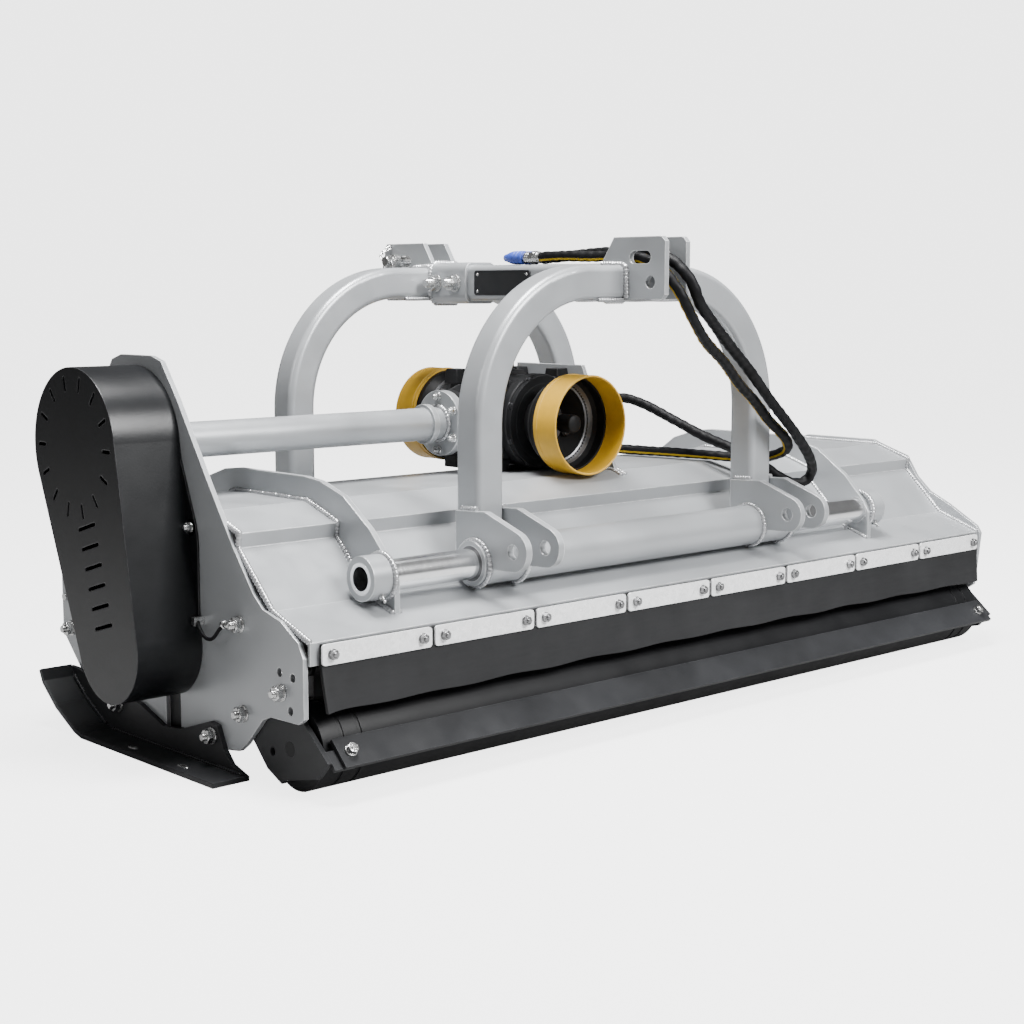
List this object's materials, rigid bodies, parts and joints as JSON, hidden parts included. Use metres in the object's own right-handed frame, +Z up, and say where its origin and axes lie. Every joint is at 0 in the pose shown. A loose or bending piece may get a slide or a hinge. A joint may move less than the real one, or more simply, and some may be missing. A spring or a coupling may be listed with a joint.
{
  "type": "flail mower",
  "caption": "Three-point flail mower with a hydraulic side-shift headstock, belt-driven hammer rotor and rear roller",
  "frame": {"origin": "on the ground, under the centre of the bounding box", "axes": "+X along the working width away from the belt guard, +Y from the roller side to the far side, +Z up"},
  "size_m": [2.322, 1.002, 1],
  "materials": {
    "silver_paint": "satin",
    "black_paint": "satin",
    "cast_housing": "satin",
    "yellow_plastic": "matte",
    "black_plastic": "matte",
    "zinc_steel": "satin",
    "chrome_steel": "polished",
    "forged_steel": "satin",
    "black_rubber": "matte",
    "blue_plastic": "matte"
  },
  "bodies": {
    "deck": {"deck_shell": "silver_paint", "drive_end_plate": "silver_paint", "plain_end_plate": "silver_paint", "guide_fins": "silver_paint", "shaft_bushes": "silver_paint", "guide_shafts": "chrome_steel", "gearbox_stand": "silver_paint", "gearbox_housing": "cast_housing", "gearbox_cover": "cast_housing", "gearbox_bolts": "zinc_steel", "shield_bases": "black_plastic", "rear_pto_shield": "yellow_plastic", "front_pto_shield": "yellow_plastic", "drive_tube": "silver_paint", "belt_guard": "black_paint", "shaft_bearings": "forged_steel", "drive_belts": "black_rubber", "left_skid": "black_paint", "right_skid": "black_paint", "end_plate_bolts": "zinc_steel", "rear_flap": "black_rubber", "flap_clamps": "zinc_steel", "flap_bolts": "zinc_steel", "front_flap_rod": "zinc_steel", "grease_line": "black_rubber", "grease_fittings": "zinc_steel", "cylinder_rod": "chrome_steel"},
    "headstock": {"rear_arch": "silver_paint", "front_arch": "silver_paint", "guide_sleeves": "silver_paint", "slide_bushes": "forged_steel", "rear_clevises": "silver_paint", "front_clevises": "silver_paint", "top_beam": "silver_paint", "beam_clamp": "silver_paint", "beam_bolts": "zinc_steel", "rear_link_plates": "silver_paint", "front_link_plates": "silver_paint", "name_plate": "black_paint", "cylinder_barrel": "black_paint", "upper_hose": "black_rubber", "lower_hose": "black_rubber", "hose_couplers": "zinc_steel", "dust_caps": "blue_plastic"},
    "link_pin": {"top_link_pin": "zinc_steel"},
    "rotor": {"rotor_drum": "black_paint", "flail_pins": "zinc_steel", "rotor_pulley": "forged_steel"},
    "flails_low": {"flail_row_low": "forged_steel"},
    "flails_front": {"flail_row_front": "forged_steel"},
    "flails_rear": {"flail_row_rear": "forged_steel"},
    "cross": {"cross_shaft": "forged_steel", "drive_pulley": "forged_steel"},
    "pto": {"pto_shaft": "forged_steel", "crown_wheel": "forged_steel"},
    "arms": {"roller_arms": "black_paint", "scraper_bar": "black_paint", "scraper_bolts": "zinc_steel"},
    "roller_body": {"roller": "black_paint"},
    "front_flap_row": {"front_flaps": "black_paint"}
  },
  "joints": [
    {"name": "side_shift", "type": "slide", "parent": "deck", "child": "headstock", "axis": [1, 0, 0], "range_m": [-0.175, 0.235]},
    {"name": "link_pin_pull", "type": "slide", "parent": "headstock", "child": "link_pin", "axis": [-1, 0, 0], "range_m": [0, 0.12]},
    {"name": "rotor_spin", "type": "hinge", "parent": "deck", "child": "rotor", "pos_m": [0, 0, 0.229], "axis": [1, 0, 0], "continuous": true},
    {"name": "low_flails_swing", "type": "hinge", "parent": "rotor", "child": "flails_low", "pos_m": [0, 0, 0.124], "axis": [1, 0, 0], "range_deg": [-90, 90]},
    {"name": "front_flails_swing", "type": "hinge", "parent": "rotor", "child": "flails_front", "pos_m": [0, 0.09093, 0.2815], "axis": [1, 0, 0], "range_deg": [-5, 120]},
    {"name": "rear_flails_swing", "type": "hinge", "parent": "rotor", "child": "flails_rear", "pos_m": [0, -0.09093, 0.2815], "axis": [1, 0, 0], "range_deg": [-120, 5]},
    {"name": "cross_spin", "type": "hinge", "parent": "deck", "child": "cross", "pos_m": [0, 0.105, 0.596], "axis": [1, 0, 0], "continuous": true},
    {"name": "pto_spin", "type": "hinge", "parent": "deck", "child": "pto", "pos_m": [-0.054, 0, 0.596], "axis": [0, 1, 0], "continuous": true},
    {"name": "roller_height", "type": "hinge", "parent": "deck", "child": "arms", "pos_m": [0, -0.242, 0.123], "axis": [1, 0, 0], "range_deg": [-12, 22]},
    {"name": "roller_spin", "type": "hinge", "parent": "arms", "child": "roller_body", "pos_m": [0, -0.372, 0.08], "axis": [1, 0, 0], "continuous": true},
    {"name": "front_flaps_swing", "type": "hinge", "parent": "deck", "child": "front_flap_row", "pos_m": [0, 0.41, 0.255], "axis": [1, 0, 0], "range_deg": [-70, 35]}
  ],
  "couplings": [
    {"joint": "cross_spin", "follows": "rotor_spin", "ratio": 0.656},
    {"joint": "pto_spin", "follows": "rotor_spin", "ratio": -0.21867}
  ]
}
